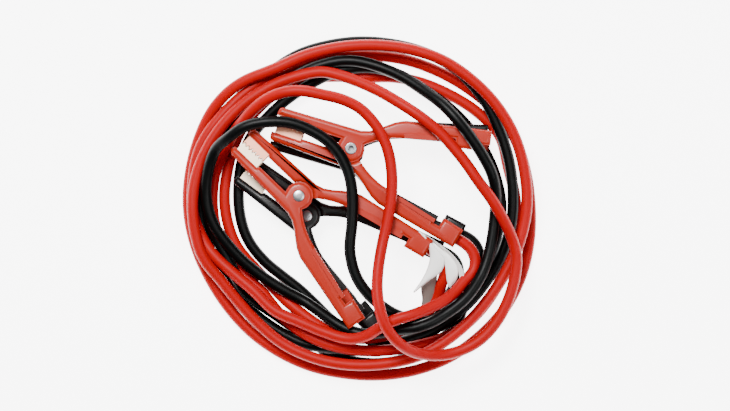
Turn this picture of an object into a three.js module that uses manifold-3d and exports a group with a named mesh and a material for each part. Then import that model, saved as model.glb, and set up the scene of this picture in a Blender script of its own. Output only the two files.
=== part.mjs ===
// Car jumper cable: two separate leads, one red and one black, wound together into a loose flat coil.
// Each lead has a sprung steel clamp with copper teeth at both ends. Units are millimetres, +Z up.
import * as THREE from "three";
import { mergeVertices } from "three/addons/utils/BufferGeometryUtils.js";
import Module from "manifold-3d";

const wasm = await Module();
wasm.setup();

// Sheet steel of a clamp half: a U channel with its spine on the outside
const channelWidth = 18;
const sheet = 1.2;
const fitGap = 0.3;
const runningGap = 0.35;

// Clamp side view, measured from the rivet along the jaws (+) and the handles (-)
const jawLength = 59;
const jawTipHeight = 12.8;
const jawRootHeight = 14.8;
const jawTipRadius = 3.5;
const throatHalf = 4.8;
const teethLength = 20;
const teethSetback = 2.4;
const linerReveal = 6.5;
const earRadius = 10.2;
const earMeetsAngle = 146;
const joggleRing = 2.6;
const handleRoot = 32;
const handleRootHeight = 32.2;
const handleRootWidth = 12.9;
const handleEndWidth = 10.8;
const handleFlare = 11.8;
const handleLength = 94;
const lipEnd = 73;
const notchLength = 5;
const lipWidth = 3;
const lipRise = 1;
const tabReach = 4;
const tabStagger = 9;

// Copper liner with meshing teeth
const linerSheet = 1;
const toothPitch = 3.4;
const toothDepth = 2.2;
const toothGap = 0.35;
const linerDepth = 10.4;

// Rivet and spring
const rivetRadius = 3;
const rivetHeadRadius = 4.4;
const rivetBore = 2;
const rivetBoreDepth = 4;
const rivetChamfer = 0.4;
const rivetDomeEdge = 0.6;
const rivetDomeFlat = 1.6;
const springWire = 2.2;
const springRadius = 5.6;
const springTurns = 3.5;
const springLeg = 10;
const springSpread = 0.82;
const springFromAngle = 75;
const springUnwind = 30;
const springSides = 6;

// Cable and its crimp
const cableDiameter = 8.4;
const cableSides = 8;
const cableStep = 20;
const tailStep = 15;
const crimpWall = 1.4;
const crimpLength = 13;
const crimpClearance = 0.5;
const crimpRound = 3.4;
const crimpGrip = 9;
const crimpStraight = 5;

const red = new THREE.MeshStandardMaterial({ color: 0xc8321e, roughness: 0.35, metalness: 0.1 });
const black = new THREE.MeshStandardMaterial({ color: 0x1b1c1e, roughness: 0.35, metalness: 0.1 });
const copper = new THREE.MeshStandardMaterial({ color: 0xd9a58c, roughness: 0.3, metalness: 1 });
const steel = new THREE.MeshStandardMaterial({ color: 0x9a9ca0, roughness: 0.35, metalness: 1 });
const redVinyl = new THREE.MeshStandardMaterial({ color: 0xcc1f24, roughness: 0.45, metalness: 0 });
const blackVinyl = new THREE.MeshStandardMaterial({ color: 0x202326, roughness: 0.45, metalness: 0 });
const whitePaper = new THREE.MeshStandardMaterial({ color: 0xeceae6, roughness: 0.8, metalness: 0 });
const greyPaper = new THREE.MeshStandardMaterial({ color: 0x8d8781, roughness: 0.8, metalness: 0 });

// A closed three.js geometry as a solid that can be joined and cut
function solid(geometry, place = new THREE.Matrix4()) {
  const bare = geometry.index ? geometry.toNonIndexed() : geometry.clone();
  bare.deleteAttribute("normal");
  bare.deleteAttribute("uv");
  bare.applyMatrix4(place);
  const merged = mergeVertices(bare, 1e-4);
  return new wasm.Manifold(
    new wasm.Mesh({
      numProp: 3,
      vertProperties: new Float32Array(merged.attributes.position.array),
      triVerts: new Uint32Array(merged.index.array),
    }),
  );
}

function geometryOf(manifold) {
  const mesh = manifold.getMesh();
  const geometry = new THREE.BufferGeometry();
  const corners = new Float32Array(mesh.triVerts.length * 3);
  mesh.triVerts.forEach((vertex, at) => {
    for (let axis = 0; axis < 3; axis += 1) {
      corners[at * 3 + axis] = mesh.vertProperties[vertex * mesh.numProp + axis];
    }
  });
  geometry.setAttribute("position", new THREE.BufferAttribute(corners, 3));
  geometry.computeVertexNormals();
  return geometry;
}

// A flat shape between two heights
function slab(shape, low, high, curveSegments = 5) {
  const geometry = new THREE.ExtrudeGeometry(shape, { depth: high - low, bevelEnabled: false, curveSegments });
  return solid(geometry, new THREE.Matrix4().makeTranslation(0, 0, low));
}

function disc(radius, low, high, segments = 20) {
  const place = new THREE.Matrix4().makeTranslation(0, 0, (low + high) / 2);
  place.multiply(new THREE.Matrix4().makeRotationX(Math.PI / 2));
  return solid(new THREE.CylinderGeometry(radius, radius, high - low, segments), place);
}

const flare = THREE.MathUtils.degToRad(handleFlare);
const alongHandle = new THREE.Vector2(-Math.cos(flare), Math.sin(flare));
const acrossHandle = new THREE.Vector2(Math.sin(flare), Math.cos(flare));
const handleTaper = (handleRootWidth - handleEndWidth) / (handleLength - handleRoot);

// A point on the handle: how far behind the rivet it is, and how far in from the outer edge
function handlePoint(behind, inward) {
  const along = (behind - handleRoot) / Math.cos(flare);
  const outer = new THREE.Vector2(-handleRoot, handleRootHeight).addScaledVector(alongHandle, along);
  return outer.addScaledVector(acrossHandle, -inward);
}

function handleWidthAt(behind) {
  return handleRootWidth - handleTaper * (behind - handleRoot);
}

// The outer edge of a half, from the jaw's tip to the handle's end
function outerEdge(inset = 0) {
  const path = new THREE.Path();
  path.moveTo(jawLength, jawTipHeight - jawTipRadius);
  path.quadraticCurveTo(jawLength, jawTipHeight, jawLength - jawTipRadius, jawTipHeight);
  path.lineTo(-3, jawRootHeight);
  path.bezierCurveTo(-14, 16, -20, 28, -handleRoot, handleRootHeight);
  const end = handlePoint(handleLength, 0);
  path.lineTo(end.x, end.y);
  const points = path.getPoints(5);
  if (inset === 0) {
    return points;
  }
  return points.map((point, at) => {
    const before = points[Math.max(at - 1, 0)];
    const after = points[Math.min(at + 1, points.length - 1)];
    const way = after.clone().sub(before).normalize();
    return new THREE.Vector2(point.x - way.y * inset, point.y + way.x * inset);
  });
}

// One side plate: jaw band, ear round the rivet and handle band, with the crimp tab at its end
function plateShape(tabShift) {
  const shape = new THREE.Shape(outerEdge());
  const reach = (behind) => handleWidthAt(behind) + tabReach;
  const tabEnd = handlePoint(handleLength - tabShift, reach(handleLength - tabShift));
  const tabStart = lipEnd + notchLength - tabShift;
  const innerCorner = handlePoint(handleLength, handleWidthAt(handleLength));
  if (tabShift > 0) {
    shape.lineTo(innerCorner.x, innerCorner.y);
    const step = handlePoint(handleLength - tabShift, handleWidthAt(handleLength - tabShift));
    shape.lineTo(step.x, step.y);
  }
  shape.lineTo(tabEnd.x, tabEnd.y);
  const tabCorner = handlePoint(tabStart, reach(tabStart));
  shape.lineTo(tabCorner.x, tabCorner.y);
  const notchFar = handlePoint(tabStart, handleWidthAt(tabStart) - lipWidth);
  const notchNear = handlePoint(tabStart - notchLength, handleWidthAt(tabStart) - lipWidth);
  shape.lineTo(notchFar.x, notchFar.y);
  shape.lineTo(notchNear.x, notchNear.y);
  const lipPoint = handlePoint(tabStart - notchLength, handleWidthAt(tabStart - notchLength));
  shape.lineTo(lipPoint.x, lipPoint.y);
  const rootPoint = handlePoint(handleRoot, handleRootWidth);
  shape.lineTo(rootPoint.x, rootPoint.y);
  const earMeets = THREE.MathUtils.degToRad(earMeetsAngle);
  const meet = new THREE.Vector2(Math.cos(earMeets), Math.sin(earMeets)).multiplyScalar(earRadius);
  shape.bezierCurveTo(-22, 16.5, -13, 9.5, meet.x, meet.y);
  const throatMeets = Math.asin(throatHalf / earRadius);
  shape.absarc(0, 0, earRadius, earMeets, throatMeets + Math.PI * 2, false);
  const teethStart = jawLength - teethSetback - teethLength;
  shape.lineTo(teethStart - 1, throatHalf);
  shape.lineTo(teethStart, linerReveal);
  shape.lineTo(jawLength, linerReveal);
  return shape;
}

// The spine: a strip of sheet along the outer edge, the full width of the channel
function spineShape() {
  const outer = outerEdge();
  const inner = outerEdge(sheet).reverse();
  return new THREE.Shape([...outer, ...inner]);
}

// A curled lip along the open edge of the handle
function lipShape(tabShift) {
  const end = lipEnd - tabShift;
  const shape = new THREE.Shape();
  const start = handlePoint(handleRoot, handleRootWidth);
  const startOuter = handlePoint(handleRoot, handleRootWidth - lipWidth);
  const farOuter = handlePoint(end, handleWidthAt(end) - lipWidth);
  const far = handlePoint(end, handleWidthAt(end));
  shape.moveTo(start.x, start.y);
  shape.lineTo(far.x, far.y);
  shape.lineTo(farOuter.x, farOuter.y);
  shape.lineTo(startOuter.x, startOuter.y);
  return shape;
}

const half = channelWidth / 2;
const plateInside = half - sheet;
const innerEarOutside = plateInside - runningGap;
const innerEarInside = innerEarOutside - sheet;

// Outer half: its ears lie outside. Inner half: its ears are joggled inwards to fit between them.
function clampHalf(earsInside, crimped) {
  const upper = slab(plateShape(0), plateInside, half);
  const lower = slab(plateShape(crimped ? 0 : tabStagger), -half, -plateInside);
  let body = upper.add(lower).add(slab(spineShape(), -half, half));
  body = body.add(slab(lipShape(0), half - sheet, half + lipRise));
  body = body.add(slab(lipShape(crimped ? 0 : tabStagger), -half - lipRise, -half + sheet));
  if (earsInside) {
    const ring = earRadius + runningGap;
    for (const side of [-1, 1]) {
      const faces = [side * innerEarInside, side * half].sort((a, b) => a - b);
      const recess = [side * innerEarOutside, side * (half + 1)].sort((a, b) => a - b);
      const plate = slab(plateShape(0), faces[0], faces[1]);
      body = body.add(plate.intersect(disc(ring + joggleRing, faces[0], faces[1])));
      body = body.subtract(disc(ring, recess[0], recess[1]));
    }
  }
  body = body.subtract(disc(rivetRadius + runningGap, -half - 1, half + 1));
  if (crimped) {
    body = body.add(crimpSleeve()).subtract(crimpBore());
  }
  return body;
}

// Where the cable enters the crimp, halfway across the handle's end
const crimpInward = handleEndWidth / 2 + 1.6;
const crimpCentre = handlePoint(handleLength - crimpLength / 2, crimpInward);
const crimpTurn = Math.PI / 2 - flare;

function crimpPlace(centre) {
  const place = new THREE.Matrix4().makeTranslation(centre.x, centre.y, 0);
  return place.multiply(new THREE.Matrix4().makeRotationZ(crimpTurn));
}

// The tabs folded round the cable: a squarish sleeve with rounded corners
function crimpSleeve() {
  const across = cableDiameter + 2 * (crimpClearance + crimpWall);
  const round = crimpRound;
  const shape = new THREE.Shape();
  const reach = across / 2;
  const rise = half;
  shape.moveTo(-reach + round, -rise);
  shape.lineTo(reach - round, -rise);
  shape.absarc(reach - round, -rise + round, round, -Math.PI / 2, 0, false);
  shape.absarc(reach - round, rise - round, round, 0, Math.PI / 2, false);
  shape.absarc(-reach + round, rise - round, round, Math.PI / 2, Math.PI, false);
  shape.absarc(-reach + round, -rise + round, round, Math.PI, Math.PI * 1.5, false);
  const geometry = new THREE.ExtrudeGeometry(shape, { depth: crimpLength, bevelEnabled: false, curveSegments: 3 });
  geometry.translate(0, 0, -crimpLength / 2);
  geometry.rotateX(Math.PI / 2);
  return solid(geometry, crimpPlace(crimpCentre));
}

function crimpBore() {
  const boreRadius = cableDiameter / 2 + crimpClearance;
  const bore = new THREE.CylinderGeometry(boreRadius, boreRadius, crimpLength * 2, 16);
  return solid(bore, crimpPlace(crimpCentre));
}

// Copper liner: a U of copper sheet inside the jaw, whose two walls carry the teeth
function linerShape(phase) {
  const start = jawLength - teethSetback - teethLength;
  const shape = new THREE.Shape();
  shape.moveTo(start, linerDepth);
  const teeth = Math.round(teethLength / toothPitch);
  for (let tooth = 0; tooth < teeth; tooth += 1) {
    const from = start + (tooth * teethLength) / teeth;
    const middle = from + teethLength / teeth / 2;
    shape.lineTo(from, toothGap + (phase * toothDepth) / 2);
    shape.lineTo(middle, toothGap - (phase * toothDepth) / 2);
  }
  shape.lineTo(start + teethLength, toothGap + (phase * toothDepth) / 2);
  shape.lineTo(start + teethLength, linerDepth);
  return shape;
}

function liner(phase) {
  const outside = plateInside - fitGap;
  const start = jawLength - teethSetback - teethLength;
  const walls = slab(linerShape(phase), -outside, outside);
  const core = new THREE.Shape();
  core.moveTo(start - 1, -toothDepth * 2);
  core.lineTo(start + teethLength + 1, -toothDepth * 2);
  core.lineTo(start + teethLength + 1, linerDepth - linerSheet);
  core.lineTo(start - 1, linerDepth - linerSheet);
  return walls.subtract(slab(core, -outside + linerSheet, outside - linerSheet));
}

// Semi-tubular rivet: a domed head above and a rolled, hollow end below
function rivet() {
  const face = half + lipRise;
  const profile = new THREE.Path();
  profile.moveTo(0, -face + rivetBoreDepth);
  profile.lineTo(rivetBore, -face + rivetBoreDepth);
  profile.lineTo(rivetBore, -face);
  profile.lineTo(rivetHeadRadius - rivetChamfer, -face);
  profile.lineTo(rivetHeadRadius, -face + rivetChamfer);
  profile.lineTo(rivetHeadRadius, -half - fitGap / 2);
  profile.lineTo(rivetRadius, -half - fitGap / 2);
  profile.lineTo(rivetRadius, half + fitGap / 2);
  profile.lineTo(rivetHeadRadius, half + fitGap / 2);
  profile.quadraticCurveTo(rivetHeadRadius - rivetDomeEdge, face, rivetDomeFlat, face);
  profile.lineTo(0, face);
  const geometry = new THREE.LatheGeometry(profile.getPoints(3), 16);
  geometry.rotateX(Math.PI / 2);
  return geometry;
}

// Torsion spring between the ears, with a leg along the inside of each spine
function spring() {
  const points = [];
  const start = handlePoint(handleRoot + springLeg, sheet + springWire / 2 + fitGap);
  const rise = (innerEarInside - springWire / 2 - fitGap) * springSpread;
  const stepsPerTurn = 10;
  const steps = Math.round(springTurns * stepsPerTurn);
  const from = THREE.MathUtils.degToRad(springFromAngle);
  const unwind = THREE.MathUtils.degToRad(springUnwind);
  points.push(new THREE.Vector3(start.x, start.y, rise));
  for (let step = 0; step <= steps; step += 1) {
    const angle = from - (step / stepsPerTurn) * Math.PI * 2 + (step / steps) * unwind;
    const height = rise - (2 * rise * step) / steps;
    points.push(new THREE.Vector3(Math.cos(angle) * springRadius, Math.sin(angle) * springRadius, height));
  }
  points.push(new THREE.Vector3(start.x, -start.y, -rise));
  return tube(points, springWire, springSides, points.length);
}

// A round tube along a smooth curve through the points
function tube(points, diameter, sides, steps) {
  const curve = new THREE.CatmullRomCurve3(points, false, "centripetal");
  const section = new THREE.Shape();
  for (let side = 0; side < sides; side += 1) {
    const angle = (side * Math.PI * 2) / sides;
    const corner = new THREE.Vector2(Math.cos(angle), Math.sin(angle)).multiplyScalar(diameter / 2);
    if (side === 0) {
      section.moveTo(corner.x, corner.y);
    } else {
      section.lineTo(corner.x, corner.y);
    }
  }
  return new THREE.ExtrudeGeometry(section, { steps, extrudePath: curve, bevelEnabled: false });
}

const group = new THREE.Group();

function addMesh(parent, name, geometry, material) {
  const mesh = new THREE.Mesh(geometry, material);
  mesh.name = name;
  parent.add(mesh);
  return mesh;
}

const freeHalfGeometry = geometryOf(clampHalf(false, false));
const wiredHalfGeometry = geometryOf(clampHalf(true, true));
const freeLinerGeometry = geometryOf(liner(1));
const wiredLinerGeometry = geometryOf(liner(-1));
const rivetGeometry = rivet();
const springGeometry = spring();

// A whole clamp. Its free half is at +Y and its wired half is the same shape turned over to -Y.
function clamp(name, paint) {
  const whole = new THREE.Group();
  addMesh(whole, `${name}_free_half`, freeHalfGeometry, paint);
  addMesh(whole, `${name}_free_teeth`, freeLinerGeometry, copper);
  const wired = new THREE.Group();
  wired.rotation.x = Math.PI;
  addMesh(wired, `${name}_wired_half`, wiredHalfGeometry, paint);
  addMesh(wired, `${name}_wired_teeth`, wiredLinerGeometry, copper);
  whole.add(wired);
  addMesh(whole, `${name}_rivet`, rivetGeometry, steel);
  addMesh(whole, `${name}_spring`, springGeometry, steel);
  return whole;
}

// Where each clamp lies: its rivet, the way its jaws point, and which side is up
const layerGap = 0.35;
const lowClamp = half + lipRise;
const highClamp = lowClamp * 3 + layerGap;
const handleReach = handleRootHeight * Math.cos(flare) - handleRoot * Math.sin(flare);

// The second clamp of a layer lies back to back with the first, handle beside handle
function besideClamp(first, headingDegrees, stagger, gap) {
  const heading = THREE.MathUtils.degToRad(headingDegrees);
  const across = 2 * handleReach + gap;
  return [
    first[0] + Math.cos(heading) * across + Math.sin(heading) * stagger,
    first[1] + Math.sin(heading) * across - Math.cos(heading) * stagger,
    first[2],
  ];
}

const redRivet = [-44.4, 10, highClamp];
const blackRivet = [-39.2, -4.8, lowClamp];
const redOne = { name: "red_clamp_1", paint: red, rivetAt: redRivet, jaws: 136, turnedOver: false };
const redTwo = {
  name: "red_clamp_2",
  paint: red,
  rivetAt: besideClamp(redRivet, 56, 12.1, 0.2),
  jaws: 161.5,
  turnedOver: true,
};
const blackOne = { name: "black_clamp_1", paint: black, rivetAt: blackRivet, jaws: 143.5, turnedOver: false };
const blackTwo = {
  name: "black_clamp_2",
  paint: black,
  rivetAt: besideClamp(blackRivet, 64.5, 8.7, 6.7),
  jaws: 165.5,
  turnedOver: true,
};

const clamps = new THREE.Group();
for (const { name, paint, rivetAt, jaws, turnedOver } of [redOne, redTwo, blackOne, blackTwo]) {
  const whole = clamp(name, paint);
  whole.position.set(...rivetAt);
  whole.rotation.set(turnedOver ? Math.PI : 0, 0, THREE.MathUtils.degToRad(jaws), "ZYX");
  clamps.add(whole);
}

// A point on the axis of a clamp's crimp, so far beyond its mouth
function crimpPoint({ rivetAt, jaws, turnedOver }, beyond) {
  const onClamp = handlePoint(handleLength + beyond * Math.cos(flare), crimpInward);
  const turned = new THREE.Vector2(onClamp.x, turnedOver ? onClamp.y : -onClamp.y);
  turned.rotateAround(new THREE.Vector2(), THREE.MathUtils.degToRad(jaws));
  return [rivetAt[0] + turned.x, rivetAt[1] + turned.y, rivetAt[2]];
}

// The cable's straight start, from inside the crimp to just beyond its mouth
function crimpStart(place) {
  return [-crimpGrip, 0, crimpStraight].map((beyond) => crimpPoint(place, beyond));
}

// Cords lie by hand-chosen points, measured from the coil's middle, with heights above the floor
function cable(points, step) {
  const path = points.map(([x, y, z]) => new THREE.Vector3(x, y, z));
  const curve = new THREE.CatmullRomCurve3(path, false, "centripetal");
  return tube(path, cableDiameter, cableSides, Math.ceil(curve.getLength() / step));
}

const redTailOne = [
  ...crimpStart(redOne), [59.8, -35.7, 30], [62.6, -42, 29], [62.8, -48, 27], [60.5, -55, 24.5],
  [58.5, -63, 21.5], [54, -72, 18.5], [47, -80, 16], [39, -86.5, 14.5], [30, -94, 14], [18, -101.5, 14], [6, -106, 14], [-3, -108.5, 14],
];
const redLoop = [
  [-86, 66, 31], [-78, 74, 36], [-67, 81.5, 42], [-54, 86, 46.5], [-41, 86.5, 48], [-28, 84, 48], [-13, 80.5, 47],
  [-0.5, 74.5, 46], [8.5, 66, 46], [16, 55, 46], [21, 42.5, 46], [23.5, 28, 46], [23.5, 10.5, 46], [20.5, -8, 46],
  [16.5, -26, 47], [13.5, -45, 52], [13, -59.5, 57.5], [15, -73, 60], [19.5, -85.5, 60], [28, -96.5, 54.5],
  [41, -104.5, 44], [59.5, -107, 33.5], [76.5, -103, 31], [90.5, -94.5, 31], [102, -81, 31], [110, -65, 31],
  [114.5, -48.5, 31], [115.5, -34.5, 31], [112, -21, 33], [106, -8, 38.5], [97.5, 7, 43], [87, 21, 46],
  [77.5, 34.5, 46], [68.5, 45.5, 46], [59.5, 55.5, 46], [45, 67.5, 46], [30, 77.5, 43], [15, 86.5, 37],
  [0.5, 93.5, 31.5], [-14.5, 99, 26.5], [-29, 102, 23],
];
const redTailTwo = [
  [-92, -52, 23], [-81, -61, 25], [-62.5, -74.5, 28], [-44, -82.5, 31], [-25.5, -91.5, 33], [-7, -96.5, 35.5],
  [5, -93, 40], [15, -86, 46], [25.5, -80.5, 49.5], [37.5, -77, 49], [49, -73, 46], [61, -67.5, 42],
  [71, -60, 37], [78, -51.5, 33.5], [82.5, -47.5, 32.3], [85, -42, 31.2], [84.8, -35, 30.5],
  ...crimpStart(redTwo).reverse(),
];
const blackTailOne = [
  ...crimpStart(blackOne), [70.6, -37.2, 9.7], [73.6, -43.5, 9], [73.4, -50.4, 8],
  [70.6, -57, 7], [66, -65, 6], [59, -73, 5], [50.5, -81, 4.6], [42, -88.5, 4.6], [33, -96.5, 4.6],
  [24, -102.5, 4.6], [15, -107, 4.6],
];
const blackLoop = [
  [93.5, -40.5, 18], [85.5, -53.5, 19], [76.5, -65, 20], [67, -73.5, 22], [56.5, -80.5, 25], [47.5, -83, 29],
  [39, -82, 33.5], [31.5, -79.5, 38], [24, -76, 42], [16, -70.5, 45.6], [6.5, -62, 46], [-2.5, -48.5, 46],
  [-7, -30, 46], [-5.5, -11.5, 46], [-5, 7, 46], [-7, 23.5, 46], [-13, 38, 46], [-22, 49, 46], [-35, 57.5, 46],
  [-51.5, 63.5, 46.5], [-72, 63.5, 46.5], [-85, 60, 45.3], [-95.5, 53, 41],
];
const blackTailTwo = [
  ...crimpStart(blackTwo), [85.7, -25, 10], [88.9, -31.3, 9.6], [89, -38, 9],
  [87, -46, 8], [85, -54, 7], [82, -62, 5.5], [78, -70, 4.6],
];

// The turns that both leads make together lie in one round bundle
const coilInner = 115;
const coilOuter = 132.5;
const coilHeight = 26;
const coilSegments = 48;

function coil() {
  const corners = [[coilInner, 0], [coilOuter, 0], [coilOuter, coilHeight], [coilInner, coilHeight], [coilInner, 0]];
  const profile = corners.map(([radius, height]) => new THREE.Vector2(radius, height));
  const geometry = new THREE.LatheGeometry(profile, coilSegments);
  return geometry.rotateX(Math.PI / 2);
}

// A folded tag: a thin leaf lying against the cable
const tagSheet = 0.4;
const whiteTagHeight = 35.2;
const whiteTagOutline = [
  [57.5, -25], [68, -31], [74, -37.5], [76, -45], [72, -51], [66.5, -50.5], [61, -50], [56, -49.5], [50, -52],
  [42, -59.5], [48.5, -51], [51.5, -44], [52.5, -37],
];
const greyTagHeight = 15.4;
const greyTagOutline = [
  [47, -65.5], [48.7, -59], [54.4, -53.5], [64, -54.4], [64.5, -61], [55, -63], [49.2, -70],
];

function tag(outline, height) {
  const shape = new THREE.Shape(outline.map(([x, y]) => new THREE.Vector2(x, y)));
  const geometry = new THREE.ExtrudeGeometry(shape, { depth: tagSheet, bevelEnabled: false });
  return geometry.translate(0, 0, height);
}

group.add(clamps);
addMesh(group, "coil", coil(), redVinyl);
addMesh(group, "red_tail_1", cable(redTailOne, tailStep), redVinyl);
addMesh(group, "red_loop", cable(redLoop, cableStep), redVinyl);
addMesh(group, "red_tail_2", cable(redTailTwo, tailStep), redVinyl);
addMesh(group, "black_tail_1", cable(blackTailOne, tailStep), blackVinyl);
addMesh(group, "black_loop", cable(blackLoop, cableStep), blackVinyl);
addMesh(group, "black_tail_2", cable(blackTailTwo, tailStep), blackVinyl);
addMesh(group, "white_tag", tag(whiteTagOutline, whiteTagHeight), whitePaper);
addMesh(group, "grey_tag", tag(greyTagOutline, greyTagHeight), greyPaper);

// The origin is under the middle of the clamps
clamps.updateMatrixWorld(true);
const middle = new THREE.Box3().setFromObject(clamps, true).getCenter(new THREE.Vector3());
group.position.set(-middle.x, -middle.y, 0);

export default group;
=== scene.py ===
# Car jumper cables: two leads wound into one loose coil, with four sprung clamps lying in it
import bmesh
import bpy
import numpy as np
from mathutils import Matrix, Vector


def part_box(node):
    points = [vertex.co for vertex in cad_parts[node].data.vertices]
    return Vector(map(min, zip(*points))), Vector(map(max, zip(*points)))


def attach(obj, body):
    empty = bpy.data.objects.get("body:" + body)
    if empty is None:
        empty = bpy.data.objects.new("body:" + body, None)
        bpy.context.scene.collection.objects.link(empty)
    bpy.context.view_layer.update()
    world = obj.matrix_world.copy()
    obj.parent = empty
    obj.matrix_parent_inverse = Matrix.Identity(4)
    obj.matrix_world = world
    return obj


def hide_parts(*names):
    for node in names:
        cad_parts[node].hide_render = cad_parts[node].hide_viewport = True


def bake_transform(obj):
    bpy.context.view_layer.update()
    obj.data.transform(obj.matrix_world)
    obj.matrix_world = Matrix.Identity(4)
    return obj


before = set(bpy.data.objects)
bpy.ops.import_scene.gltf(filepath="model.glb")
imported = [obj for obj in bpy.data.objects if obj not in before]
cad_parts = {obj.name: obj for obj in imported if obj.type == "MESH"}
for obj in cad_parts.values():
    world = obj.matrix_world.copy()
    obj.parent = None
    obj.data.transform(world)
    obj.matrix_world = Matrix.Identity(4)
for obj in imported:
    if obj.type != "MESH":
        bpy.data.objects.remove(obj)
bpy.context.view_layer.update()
mm = 0.001


def middleOf(node):
    low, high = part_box(node)
    return (np.array(low) + np.array(high)) / 2


# The routes below are measured in mm from the coil's middle, which this shift puts into the frame
rivetOnRoute = np.array([-44.4, 10.0])
coilMiddle = middleOf("red_clamp_1_rivet")[:2] - rivetOnRoute * mm


# ---------------------------------------------------------------- camera, floor and light
view = {
    "photoWidth": 730,
    "photoHeight": 411,
    "mmPerPixel": 0.74,
    "coilPixel": (359.5, 209.5),
    "height": 1.9,
    "focusHeight": 0.02,
    "sensor": 36.0,
}


def addCamera():
    # looks straight down; the lens makes one photo pixel mmPerPixel wide at the focus height
    data = bpy.data.cameras.new("camera")
    data.sensor_width = view["sensor"]
    across = view["photoWidth"] * view["mmPerPixel"] * mm
    data.lens = view["sensor"] * (view["height"] - view["focusHeight"]) / across
    data.clip_end = 20
    camera = bpy.data.objects.new("camera", data)
    centre = np.array([view["photoWidth"] / 2, view["photoHeight"] / 2]) - view["coilPixel"]
    camera.location = (
        coilMiddle[0] + centre[0] * view["mmPerPixel"] * mm,
        coilMiddle[1] - centre[1] * view["mmPerPixel"] * mm,
        view["height"],
    )
    bpy.context.scene.collection.objects.link(camera)
    bpy.context.scene.camera = camera


addCamera()
print("camera placed")

# ---------------------------------------------------------------- cable routes
cable = {
    "diameter": 8.4,
    "spacing": 8.75,      # centre to centre where two stretches touch
    "step": 4.0,          # between the points that the settling moves
    "rounds": 70,
    "floorHeight": 4.35,
}

redTailOne = [
    (43.3, -24.1, 30.35), (50.9, -28.9, 30.35), (55.1, -31.5, 30.35), (59.8, -35.7, 30), (62.6, -42, 29),
    (62.8, -48, 27), (60.5, -55, 24.5), (58.5, -63, 21.5), (54, -72, 20), (47, -80, 22), (38, -86, 24.5),
    (27, -90.5, 25.5), (14, -93.5, 25.5),
]
redFirstTurn = [
    (268, 94, 25.5), (255, 91, 23), (240, 86.5, 15), (225, 86, 8), (210, 88, 4.6), (195, 96, 4.6),
    (180, 101, 4.6),
    (165, 105.5, 4.6), (150, 107, 4.6), (120, 105.5, 4.6), (90, 98.8, 4.6), (60, 106, 4.6), (45, 111, 4.6),
    (39, 114.5, 4.6), (33, 118, 4.6), (27, 118.5, 4.6), (15, 115, 4.6), (0, 117, 4.6), (-30, 117.5, 4.6),
    (-50, 115.5, 8), (-62, 112, 15),
    (-75, 107, 22.5), (-90, 103, 25), (-110, 101, 23), (-125, 99.5, 15), (-140, 100, 8), (-155, 103.5, 4.6),
    (-170, 108, 4.6), (-185, 110.5, 4.6), (-200, 112.5, 10), (-212, 111, 20),
]
redLoop = [
    (-86, 66, 31), (-78, 74, 36), (-67, 81.5, 42), (-54, 86, 46.5), (-41, 86.5, 48), (-28, 84, 48), (-13, 80.5, 47),
    (-0.5, 74.5, 46), (8.5, 66, 46), (16, 55, 46), (21, 42.5, 46), (23.5, 28, 46), (23.5, 10.5, 46), (20.5, -8, 46),
    (16.5, -26, 47), (13.5, -45, 52), (13, -59.5, 57.5), (15, -73, 60), (19.5, -85.5, 60), (28, -96.5, 54.5),
    (41, -104.5, 44), (59.5, -107, 33.5), (76.5, -103, 31), (90.5, -94.5, 31), (102, -81, 31), (110, -65, 31),
    (114.5, -48.5, 31), (115.5, -34.5, 31), (112, -21, 33), (106, -8, 38.5), (97.5, 7, 43), (87, 21, 46),
    (77.5, 34.5, 46), (68.5, 45.5, 46), (59.5, 55.5, 46), (45, 67.5, 46), (30, 77.5, 43), (15, 86.5, 37),
    (0.5, 93.5, 31.5), (-14.5, 99, 26.5), (-29, 102, 23),
]
redOuterTurns = [
    (120, 110.5, 22), (135, 115, 22), (150, 119, 22), (165, 122, 22), (180, 122.5, 22), (195, 119, 19),
    (207, 112, 16), (225, 112.5, 15), (240, 114.5, 17), (255, 115, 20), (270, 115, 22), (300, 115.5, 22),
    (330, 116, 22), (350, 121, 22), (360, 123.5, 22), (390, 127.5, 22), (420, 126.5, 22), (450, 121, 22),
    (480, 120.5, 22), (495, 127, 17), (510, 129.5, 10), (525, 129, 5), (540, 127.5, 4.6), (570, 122, 4.6),
    (600, 122, 4.6), (630, 123, 4.6), (660, 129, 4.6), (690, 131.5, 4.6), (720, 127.5, 4.6), (740, 127, 4.6),
    (752, 127, 4.6), (760, 123, 4.6), (780, 118.5, 4.6), (810, 114.5, 4.6), (825, 115, 8),
    (840, 116.5, 12.5), (855, 120, 13.4),
    (870, 122, 13.4), (885, 123, 13), (900, 123, 13), (912, 117, 12.5), (922, 106.5, 15), (930, 102, 21),
    (938, 98, 24),
]
redTailTwo = [
    (-62.5, -74.5, 28), (-44, -82.5, 31), (-25.5, -90, 33), (-8, -94.5, 35.5), (4.5, -92.5, 40), (15, -86, 46),
    (25.5, -80.5, 50), (37.5, -77, 50), (49, -73, 46), (61, -67.5, 42), (71, -60, 37), (78, -51.5, 33.5),
    (82.5, -47.5, 32.3), (85, -42, 31.2), (84.8, -35, 30.5), (81.4, -28.4, 30.35), (76.9, -24.5, 30.35),
    (72.1, -21.8, 30.35), (64.3, -17.3, 30.35),
]
blackTailOne = [
    (52.1, -26.9, 10), (60.3, -30.7, 10), (65, -32.8, 10), (70.6, -37.2, 9.7), (73.6, -43.5, 9), (73.4, -50.4, 8),
    (70.6, -57, 7), (66, -65, 6), (59, -73, 5), (50.5, -81, 4.6), (42, -88.5, 4.6), (33, -96.5, 4.6),
    (24, -102.5, 4.6), (15, -107, 4.6),
]
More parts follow.
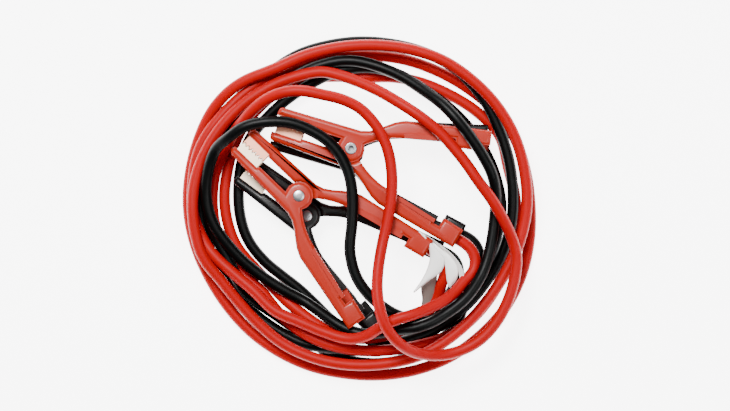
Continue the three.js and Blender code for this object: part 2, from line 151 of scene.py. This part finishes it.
blackTurns = [
    (275, 107.5, 4.6), (255, 106.5, 4.6), (240, 105, 4.6), (225, 106, 4.6), (210, 111, 4.6), (195, 115.5, 4.6),
    (180, 119, 4.6), (165, 120, 4.6), (150, 120, 4.6), (135, 120, 4.6), (120, 120.5, 4.6), (105, 122.5, 8),
    (90, 124.5, 12), (75, 125.5, 12.5), (60, 127, 12.8), (50, 126, 13), (40, 122.8, 13.2), (32, 120, 13.2),
    (25, 119.3, 13.2), (15, 115.5, 13.4), (0, 113.5, 13.4), (-15, 111, 13), (-30, 108, 10), (-45, 106.5, 7),
    (-60, 105, 5), (-80, 102, 4.6), (-100, 88, 4.6), (-120, 75, 4.6), (-135, 74.5, 4.6), (-150, 81.5, 4.6),
    (-165, 87, 4.6), (-180, 90, 4.6), (-195, 92.5, 4.6), (-210, 97.5, 4.6), (-230, 98, 4.6), (-255, 103, 6),
    (-270, 106, 9.5), (-285, 104.5, 9.5), (-300, 101, 9.5), (-315, 101, 10), (-330, 102, 11), (-345, 104, 13.5),
    (-360, 105.5, 15), (-372, 103.5, 17),
]
blackLoop = [
    (93.5, -40.5, 18), (85.5, -53.5, 19), (76.5, -65, 20), (67, -73.5, 22), (56.5, -80.5, 25), (47.5, -83, 29),
    (39, -82, 33.5), (31.5, -79.5, 38), (24, -76, 42), (16, -70.5, 45.6), (6.5, -62, 46),
    (-2.5, -48.5, 46), (-7, -30, 46),
    (-5.5, -11.5, 46), (-5, 7, 46), (-7, 23.5, 46), (-13, 38, 46), (-22, 49, 46), (-35, 57.5, 46),
    (-51.5, 63.5, 46.5),
    (-72, 63.5, 46.5), (-85, 60, 45.3), (-95.5, 53, 41),
]
blackLeftSide = [
    (158, 115.3, 31), (164, 117, 26), (171, 116, 23), (179, 113, 21), (188, 108, 20), (198, 99, 18),
    (209, 90.5, 17), (225, 83, 16), (240, 80.5, 16),
]
blackRightSide = [
    (-29.5, -77.5, 20), (-20.5, -84, 24), (-10, -90, 27), (2, -93, 29), (14, -91.5, 33), (27.5, -88, 37),
    (40, -86, 40), (52, -82, 40), (62, -76, 38), (71.5, -68.5, 37), (79, -60.5, 36), (86, -48.5, 35),
    (92, -36, 34), (96.5, -21, 34.5), (99, -4, 36), (99.5, 10.5, 41), (96.5, 25.5, 46), (89, 40.5, 47),
    (79.5, 55, 47), (70.5, 66.5, 46.5), (59.5, 78, 42), (47, 87.5, 34), (32, 97.5, 27), (13.5, 105.5, 20),
    (-7, 109.5, 16),
]
blackLastTurn = [
    (107, 112, 14), (121, 113.7, 13), (133.5, 115.7, 13), (145, 119, 13), (155, 120, 13), (166, 118.7, 13),
    (176.5, 115.3, 13), (187, 111.4, 13), (199, 106, 12), (212, 102.3, 9), (226, 101, 5.5), (242, 103, 4.6),
    (258, 107.7, 4.6), (272, 112.2, 4.6), (285, 115, 4.6), (296, 116.5, 4.6), (305, 114.5, 4.6), (312, 110.5, 4.6),
]
blackTailTwo = [
    (78, -70, 4.6), (82, -62, 5.5), (85, -54, 7), (87, -46, 8), (89, -38, 9), (88.9, -31.3, 9.6), (85.7, -25, 10),
    (80.4, -20.7, 10), (75.7, -18.4, 10), (67.6, -14.4, 10),
]


def smooth(points, spacing):
    # a centripetal Catmull-Rom curve through the points, cut at equal steps along its length
    p = np.array(points, float)
    p = np.vstack([2 * p[0] - p[1], p, 2 * p[-1] - p[-2]])
    knots = np.concatenate([[0], np.cumsum(np.linalg.norm(np.diff(p, axis=0), axis=1) ** 0.5)])
    fine = np.linspace(0, 1, 16, endpoint=False)
    i = np.repeat(np.arange(1, len(p) - 2), len(fine))
    t = knots[i] + (knots[i + 1] - knots[i]) * np.tile(fine, len(p) - 3)

    def between(a, b, ta, tb):
        w = ((t - ta) / (tb - ta))[:, None]
        return a * (1 - w) + b * w

    k = [knots[i + n] for n in (-1, 0, 1, 2)]
    q = [p[i + n] for n in (-1, 0, 1, 2)]
    a = [between(q[n], q[n + 1], k[n], k[n + 1]) for n in range(3)]
    b = [between(a[n], a[n + 1], k[n], k[n + 2]) for n in range(2)]
    curve = np.vstack([between(b[0], b[1], k[1], k[2]), p[-2]])
    return evenly(curve, spacing)


def evenly(curve, spacing):
    # the same curve cut into equal steps
    along = np.concatenate([[0], np.cumsum(np.linalg.norm(np.diff(curve, axis=0), axis=1))])
    at = np.linspace(0, along[-1], max(int(round(along[-1] / spacing)), 2) + 1)
    return np.column_stack([np.interp(at, along, curve[:, axis]) for axis in range(3)])


def turn(keys, stepDegrees=12):
    # a stretch of coil: radius and height run smoothly between the keys as the angle goes round
    angle, radius, height = np.array(keys, float).T
    count = int(abs(angle[-1] - angle[0]) // stepDegrees)
    way = np.sign(angle[-1] - angle[0])
    at = np.linspace(angle[0], angle[-1], count + 1)
    r = np.interp(at * way, angle * way, radius)
    z = np.interp(at * way, angle * way, height)
    turned = np.radians(at)
    return [tuple(point) for point in np.column_stack([r * np.cos(turned), r * np.sin(turned), z])]


settling = {
    "ownStretch": 32,             # mm of its own length within which a cable isn't pushed off itself
    "extraGap": 0.25,
    "shares": [0.28, 0.28, 0.4],  # of a push that each point takes, in x, y and z
    "gain": 1.6,
    "own": 0.4,                   # shares of a move that stay with a point and come from each neighbour
    "neighbour": 0.3,
    "fixedPoints": 5,             # at each end, followed by easedPoints that move more and more freely
    "easedPoints": 8,
    "ignored": 99,
}


def settle(leads):
    # stretches that would run into each other are pushed apart, and each push spreads along its cable
    paths = [smooth(lead, cable["step"]) for lead in leads]
    start = np.vstack(paths)
    owner = np.concatenate([np.full(len(path), number) for number, path in enumerate(paths)])
    place = np.concatenate([np.arange(len(path)) for path in paths])
    near = (owner[:, None] == owner) & (np.abs(place[:, None] - place) * cable["step"] < settling["ownStretch"])
    ends = np.concatenate([np.minimum(np.arange(len(path)), np.arange(len(path))[::-1]) for path in paths])
    free = np.clip((ends - settling["fixedPoints"]) / settling["easedPoints"], 0, 1)[:, None]
    reach = cable["spacing"] + settling["extraGap"]
    moved = np.zeros_like(start)
    for _ in range(cable["rounds"]):
        now = start + moved
        gap = np.linalg.norm(now[:, None] - now, axis=2)
        gap[near] = settling["ignored"]
        first, second = np.nonzero(gap < reach)
        apart = now[first] - now[second]
        push = (reach - gap[first, second]) / gap[first, second]
        shove = np.zeros_like(start)
        np.add.at(shove, first, apart * push[:, None] * settling["shares"])
        count = np.bincount(first, minlength=len(start))[:, None]
        moved += shove / np.maximum(count, 1) * settling["gain"]
        for path in range(len(paths)):
            mine = owner == path
            m = moved[mine]
            m[1:-1] = m[1:-1] * settling["own"] + (m[:-2] + m[2:]) * settling["neighbour"]
            moved[mine] = m
        moved *= free
        moved[:, 2] = np.maximum(moved[:, 2], cable["floorHeight"] - start[:, 2])
    done = start + moved
    return [done[owner == path] for path in range(len(paths))]


redRoute = redTailOne + turn(redFirstTurn) + redLoop + turn(redOuterTurns) + redTailTwo
blackRoute = (
    blackTailOne + turn(blackTurns) + blackLoop + turn(blackLeftSide)
    + blackRightSide + turn(blackLastTurn) + blackTailTwo
)
redPath, blackPath = settle([redRoute, blackRoute])


def toFrame(path):
    placed = np.array(path, float) * mm
    placed[:, :2] += coilMiddle
    return placed


# ---------------------------------------------------------------- materials
def linear(hexCode):
    # sRGB hex to the linear colour that a shader takes
    srgb = np.array([int(hexCode[i:i + 2], 16) for i in (1, 3, 5)]) / 255
    flat = np.where(srgb <= 0.04045, srgb / 12.92, ((srgb + 0.055) / 1.055) ** 2.4)
    return (*flat, 1.0)


def addNode(tree, kind, links=(), **settings):
    # links: (input name or number, socket it comes from)
    node = tree.nodes.new(kind)
    for name, value in settings.items():
        if name in node.inputs:
            node.inputs[name].default_value = value
        else:
            setattr(node, name, value)
    for socket, source in links:
        tree.links.new(source, node.inputs[socket])
    return node


def newMaterial(name, colour, roughness, metallic=0.0, ior=1.5, coat=0.0, coatRoughness=0.1, specular=0.5):
    material = bpy.data.materials.new(name)
    material.use_nodes = True
    shader = material.node_tree.nodes["Principled BSDF"]
    shader.inputs["Base Color"].default_value = linear(colour)
    shader.inputs["Roughness"].default_value = roughness
    shader.inputs["Metallic"].default_value = metallic
    shader.inputs["IOR"].default_value = ior
    shader.inputs["Specular IOR Level"].default_value = specular
    shader.inputs["Coat Weight"].default_value = coat
    shader.inputs["Coat Roughness"].default_value = coatRoughness
    return material, material.node_tree, shader


def grain(tree, shader, scaleMm, strength, distanceMm):
    # fine unevenness: noise whose features are scaleMm across
    place = addNode(tree, "ShaderNodeTexCoord")
    noise = addNode(
        tree, "ShaderNodeTexNoise", [("Vector", place.outputs["Object"])], Scale=1 / (scaleMm * mm), Detail=3.0
    )
    bump = addNode(
        tree, "ShaderNodeBump", [("Height", noise.outputs["Fac"])], Strength=strength, Distance=distanceMm * mm
    )
    tree.links.new(bump.outputs["Normal"], shader.inputs["Normal"])


def vinylJacket(name, colour, roughness):
    # extruded flexible PVC: a soft, slightly wavy skin with a broad highlight
    material, tree, shader = newMaterial(name, colour, roughness, ior=1.53, specular=0.1)
    grain(tree, shader, scaleMm=5.0, strength=0.25, distanceMm=0.25)
    return material


def sprayedEnamel(name, colour, roughness):
    # sprayed gloss enamel on pressed steel: faint orange peel under a clear shine
    material, tree, shader = newMaterial(name, colour, roughness, coat=0.12, coatRoughness=0.15, specular=0.3)
    grain(tree, shader, scaleMm=1.6, strength=0.12, distanceMm=0.08)
    return material


redVinyl = vinylJacket("red_pvc", "#9c0103", 0.46)
blackVinyl = vinylJacket("black_pvc", "#010202", 0.42)
redEnamel = sprayedEnamel("red_enamel", "#9a1a03", 0.38)
blackEnamel = sprayedEnamel("black_enamel", "#010101", 0.38)
# stamped copper strip, one copper in two copies: the upper one is pale with painted light, the lower one pink with
# painted shade and a painted red reflection
copper, litCopperTree, litCopperShader = newMaterial("copper_painted_light", "#fbe3c8", 0.42, metallic=1.0)
grain(litCopperTree, litCopperShader, scaleMm=0.8, strength=0.25, distanceMm=0.06)
shadedCopper, shadedCopperTree, shadedCopperShader = newMaterial("copper_painted_shade", "#f0a88c", 0.42, metallic=1.0)
grain(shadedCopperTree, shadedCopperShader, scaleMm=0.8, strength=0.25, distanceMm=0.06)
zinc, zincTree, zincShader = newMaterial("zinc_plated_steel", "#a9abae", 0.32, metallic=1.0)
grain(zincTree, zincShader, scaleMm=0.7, strength=0.2, distanceMm=0.05)
whiteFilm, _, _ = newMaterial("white_label_film", "#fbfaf7", 0.45)
# the second label's grey-brown is painted shade: a white film that lies in shadow beside the cable
shadedFilm, _, _ = newMaterial("shaded_label_film", "#6e625c", 0.6)
print("materials made")


# ---------------------------------------------------------------- tags
tagLook = {"rows": 28, "columns": 10, "film": 0.22}

# edges in photo pixels and mm of height, from the pinched end between the handles outwards
whitePlies = [
    ([(418, 231, 38), (426, 242, 37), (429.5, 254, 36), (427.5, 266, 35), (421.5, 279, 33), (413, 291.5, 31)],
     [(419, 231, 38), (435, 247, 36.5), (444, 260, 35), (441, 270.5, 34), (428, 280.5, 33), (414, 292, 31)], 1.6),
    ([(419, 231, 37.5), (435, 248, 36), (443, 259, 34.6), (445, 268, 33.8), (446, 278, 32), (448, 286, 29)],
     [(420, 231, 37), (438, 246.5, 35), (450.5, 257, 33.5), (457, 267, 32), (456.5, 278, 30.5), (450, 287.5, 29)], 1.2),
    ([(420, 231.5, 36), (437, 245, 34), (450.5, 257.5, 33), (457.5, 269, 32), (459.5, 281, 30), (461, 291, 27.5)],
     [(420, 231, 40.5), (438, 243, 40), (453, 255.5, 39), (461.5, 268, 37.5), (463.5, 281, 34.5), (463, 292.5, 30)], 0.4),
]
# the second label, in shadow; its grey-brown colour is painted shade
shadedTagPlies = [
    ([(420.5, 284, 27), (421, 291, 25), (422, 298, 23), (421.5, 305, 21.5)],
     [(437, 275, 27), (436, 284, 24), (435, 294, 22), (433, 303.5, 20.5)], 1.0),
]


def along(edge, rows):
    # points at equal steps of the edge's length, with heights that follow
    place = np.array(edge, float)
    mid = view["coilPixel"]
    flat = np.column_stack([(place[:, 0] - mid[0]) * view["mmPerPixel"], (mid[1] - place[:, 1]) * view["mmPerPixel"]])
    curve = smooth(np.column_stack([flat, place[:, 2]]), 0.5)
    reach = np.linspace(0, len(curve) - 1, rows)
    return np.column_stack([np.interp(reach, np.arange(len(curve)), curve[:, axis]) for axis in range(3)])


def addTag(name, plies, material, node):
    # each ply is P(t, u) = left(t) (1 - u) + right(t) u, raised by bulge 4 u (1 - u) in the middle
    rows, columns = tagLook["rows"], tagLook["columns"]
    u = np.linspace(0, 1, columns)[None, :, None]
    points, faces = [], []
    for left, right, bulge in plies:
        grid = along(left, rows)[:, None] * (1 - u) + along(right, rows)[:, None] * u
        grid[..., 2] += bulge * 4 * (u * (1 - u))[..., 0]
        start = sum(len(block) for block in points)
        corner = start + (np.arange(rows - 1)[:, None] * columns + np.arange(columns - 1)).ravel()
        faces.append(np.column_stack([corner, corner + 1, corner + columns + 1, corner + columns]))
        points.append(toFrame(grid.reshape(-1, 3)))
    mesh = bpy.data.meshes.new(name)
    mesh.from_pydata(np.vstack(points), [], np.vstack(faces).tolist())
    mesh.materials.append(material)
    mesh.shade_smooth()
    sheetPiece = bpy.data.objects.new(name, mesh)
    bpy.context.scene.collection.objects.link(sheetPiece)
    film = sheetPiece.modifiers.new("film", "SOLIDIFY")
    film.thickness = tagLook["film"] * mm
    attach(sheetPiece, "leads")
    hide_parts(node)
    return sheetPiece


whiteTag = addTag("white_tag_sheet", whitePlies, whiteFilm, "white_tag")
shadedTag = addTag("shaded_tag_sheet", shadedTagPlies, shadedFilm, "grey_tag")
print("tags folded")

# ---------------------------------------------------------------- cables
def lengthOf(path):
    return float(np.linalg.norm(np.diff(path, axis=0), axis=1).sum())


def addLead(name, path, material, nodes):
    placed = toFrame(path)
    data = bpy.data.curves.new(name, "CURVE")
    data.dimensions = "3D"
    data.bevel_depth = cable["diameter"] / 2 * mm
    data.bevel_resolution = 6
    data.use_fill_caps = True
    data.resolution_u = 2
    spline = data.splines.new("NURBS")
    spline.points.add(len(placed) - 1)
    spline.points.foreach_set("co", np.column_stack([placed, np.ones(len(placed))]).astype(np.float32).ravel())
    spline.order_u = 4
    spline.use_endpoint_u = True
    spline.use_smooth = True
    lead = bpy.data.objects.new(name, data)
    data.materials.append(material)
    bpy.context.scene.collection.objects.link(lead)
    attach(lead, "leads")
    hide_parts(*nodes)
    return lead


addLead(
    "red_lead", redPath, redVinyl, ["coil", "red_tail_1", "red_loop", "red_tail_2"],
)
addLead("black_lead", blackPath, blackVinyl, ["black_tail_1", "black_loop", "black_tail_2"])
print("leads laid:", round(lengthOf(redPath) / 1000, 3), "m and", round(lengthOf(blackPath) / 1000, 3), "m")

# ---------------------------------------------------------------- clamps
clamps = {"red_clamp_1": "red", "red_clamp_2": "red", "black_clamp_1": "black", "black_clamp_2": "black"}
pieceLooks = {
    "free_half": (None, 0.45, 3), "wired_half": (None, 0.45, 3),
    # the free teeth take the pale copper with painted light, the wired teeth the pink copper with painted shade
    "free_teeth": (copper, 0.12, 2), "wired_teeth": (shadedCopper, 0.12, 2),
    "rivet": (zinc, 0.25, 3), "spring": (zinc, 0.0, 0),
}

bend = {
    "radius": 3.0, "segments": 4, "sharpAngle": 32, "breakAngle": 40,
    "channelWidth": 18, "widthTolerance": 0.05, "mergeDistance": 0.02,
    "sideways": 0.1, "upright": 0.9,  # limits of the height part of a face's direction
}


def spineEdges(mesh, middleHeight):
    # the long edges where the spine turns into a side plate: at full width, between a face that
    # looks sideways and one that looks up or down
    full = bend["channelWidth"] * mm / 2 - bend["widthTolerance"] * mm
    picked = []
    for edge in mesh.edges:
        if len(edge.link_faces) != 2:
            continue
        if min(abs(v.co.z - middleHeight) for v in edge.verts) < full:
            continue
        if max(abs(v.co.z - middleHeight) for v in edge.verts) > full + 2 * bend["widthTolerance"] * mm:
            continue
        tilts = sorted(abs(face.normal.z) for face in edge.link_faces)
        if tilts[0] > bend["sideways"] or tilts[1] < bend["upright"]:
            continue
        if edge.calc_face_angle_signed() > 0:
            picked.append(edge)
    return picked


def roundedCopy(node, material, body, width, segments):
    # a merged copy of the CAD piece: the spine's bends are rolled to a radius, other edges broken
    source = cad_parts[node]
    mesh = source.data.copy()
    mesh.transform(source.matrix_world)
    mesh.materials.clear()
    mesh.materials.append(material)
    shape = bmesh.new()
    shape.from_mesh(mesh)
    bmesh.ops.remove_doubles(shape, verts=shape.verts, dist=bend["mergeDistance"] * mm)
    bmesh.ops.dissolve_limit(shape, angle_limit=np.radians(1), verts=shape.verts, edges=shape.edges)
    if node.endswith("half"):
        low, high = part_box(node)
        outer = outerSpine(shape, spineEdges(shape, (low[2] + high[2]) / 2))
        bmesh.ops.bevel(
            shape, geom=outer, offset=bend["radius"] * mm, segments=bend["segments"], profile=0.5, affect="EDGES",
            clamp_overlap=False,
        )
    shape.to_mesh(mesh)
    shape.free()
    mesh.shade_smooth()
    mesh.set_sharp_from_angle(angle=np.radians(bend["sharpAngle"]))
    copy = bpy.data.objects.new(node + "_finish", mesh)
    bpy.context.scene.collection.objects.link(copy)
    if width:
        soften = copy.modifiers.new("soften", "BEVEL")
        soften.width = width * mm
        soften.segments = segments
        soften.limit_method = "ANGLE"
        soften.angle_limit = np.radians(bend["breakAngle"])
    if node.endswith("spring"):
        followHandles(copy)
    else:
        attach(copy, body)
    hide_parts(node)
    return copy


def followHandles(spring):
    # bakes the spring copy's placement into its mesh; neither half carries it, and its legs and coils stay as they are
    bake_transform(spring)


def outerSpine(shape, edges):
    # the longest chain on each side of the channel is the spine's bend
    left = set(edges)
    chains = []
    while left:
        chain = [left.pop()]
        waiting = list(chain)
        while waiting:
            edge = waiting.pop()
            for vert in edge.verts:
                for other in vert.link_edges:
                    if other in left:
                        left.discard(other)
                        chain.append(other)
                        waiting.append(other)
        chains.append(chain)
    chains.sort(key=lambda chain: -sum(edge.calc_length() for edge in chain))
    return [edge for chain in chains[:2] for edge in chain]


for clamp, colour in clamps.items():
    enamel = redEnamel if colour == "red" else blackEnamel
    for piece, (material, width, segments) in pieceLooks.items():
        body = clamp + "_free" if piece.startswith("free") else "leads"
        copy = roundedCopy(f"{clamp}_{piece}", material or enamel, body, width, segments)
print("clamps finished")

# ---------------------------------------------------------------- floor and light
stage = {"floorSize": 6.0, "floorGlow": 6.0, "world": 0.16}
lights = {
    "key_light": {"place": (-0.35, 0.75, 1.5), "size": 0.6, "power": 64.0},
    "fill_light": {"place": (0.9, -0.3, 1.5), "size": 0.8, "power": 16.0},
}


def addStage():
    floorMaterial, _, floorShader = newMaterial("pale_floor", "#f4f4f4", 0.9)
    floorShader.inputs["Emission Color"].default_value = (1, 1, 1, 1)
    floorShader.inputs["Emission Strength"].default_value = stage["floorGlow"]
    half = stage["floorSize"] / 2
    mesh = bpy.data.meshes.new("floor")
    mesh.from_pydata([(-half, -half, 0), (half, -half, 0), (half, half, 0), (-half, half, 0)], [], [(0, 1, 2, 3)])
    mesh.materials.append(floorMaterial)
    floor = bpy.data.objects.new("floor", mesh)
    bpy.context.scene.collection.objects.link(floor)
    world = bpy.data.worlds.new("world")
    world.use_nodes = True
    world.node_tree.nodes["Background"].inputs["Color"].default_value = (1, 1, 1, 1)
    world.node_tree.nodes["Background"].inputs["Strength"].default_value = stage["world"]
    bpy.context.scene.world = world
    for name, lamp in lights.items():
        data = bpy.data.lights.new(name, "AREA")
        data.size = lamp["size"]
        data.energy = lamp["power"]
        light = bpy.data.objects.new(name, data)
        light.location = lamp["place"]
        aim = np.array([coilMiddle[0], coilMiddle[1], 0]) - np.array(lamp["place"])
        light.rotation_euler = Vector(aim).to_track_quat("-Z", "Y").to_euler()
        bpy.context.scene.collection.objects.link(light)


addStage()
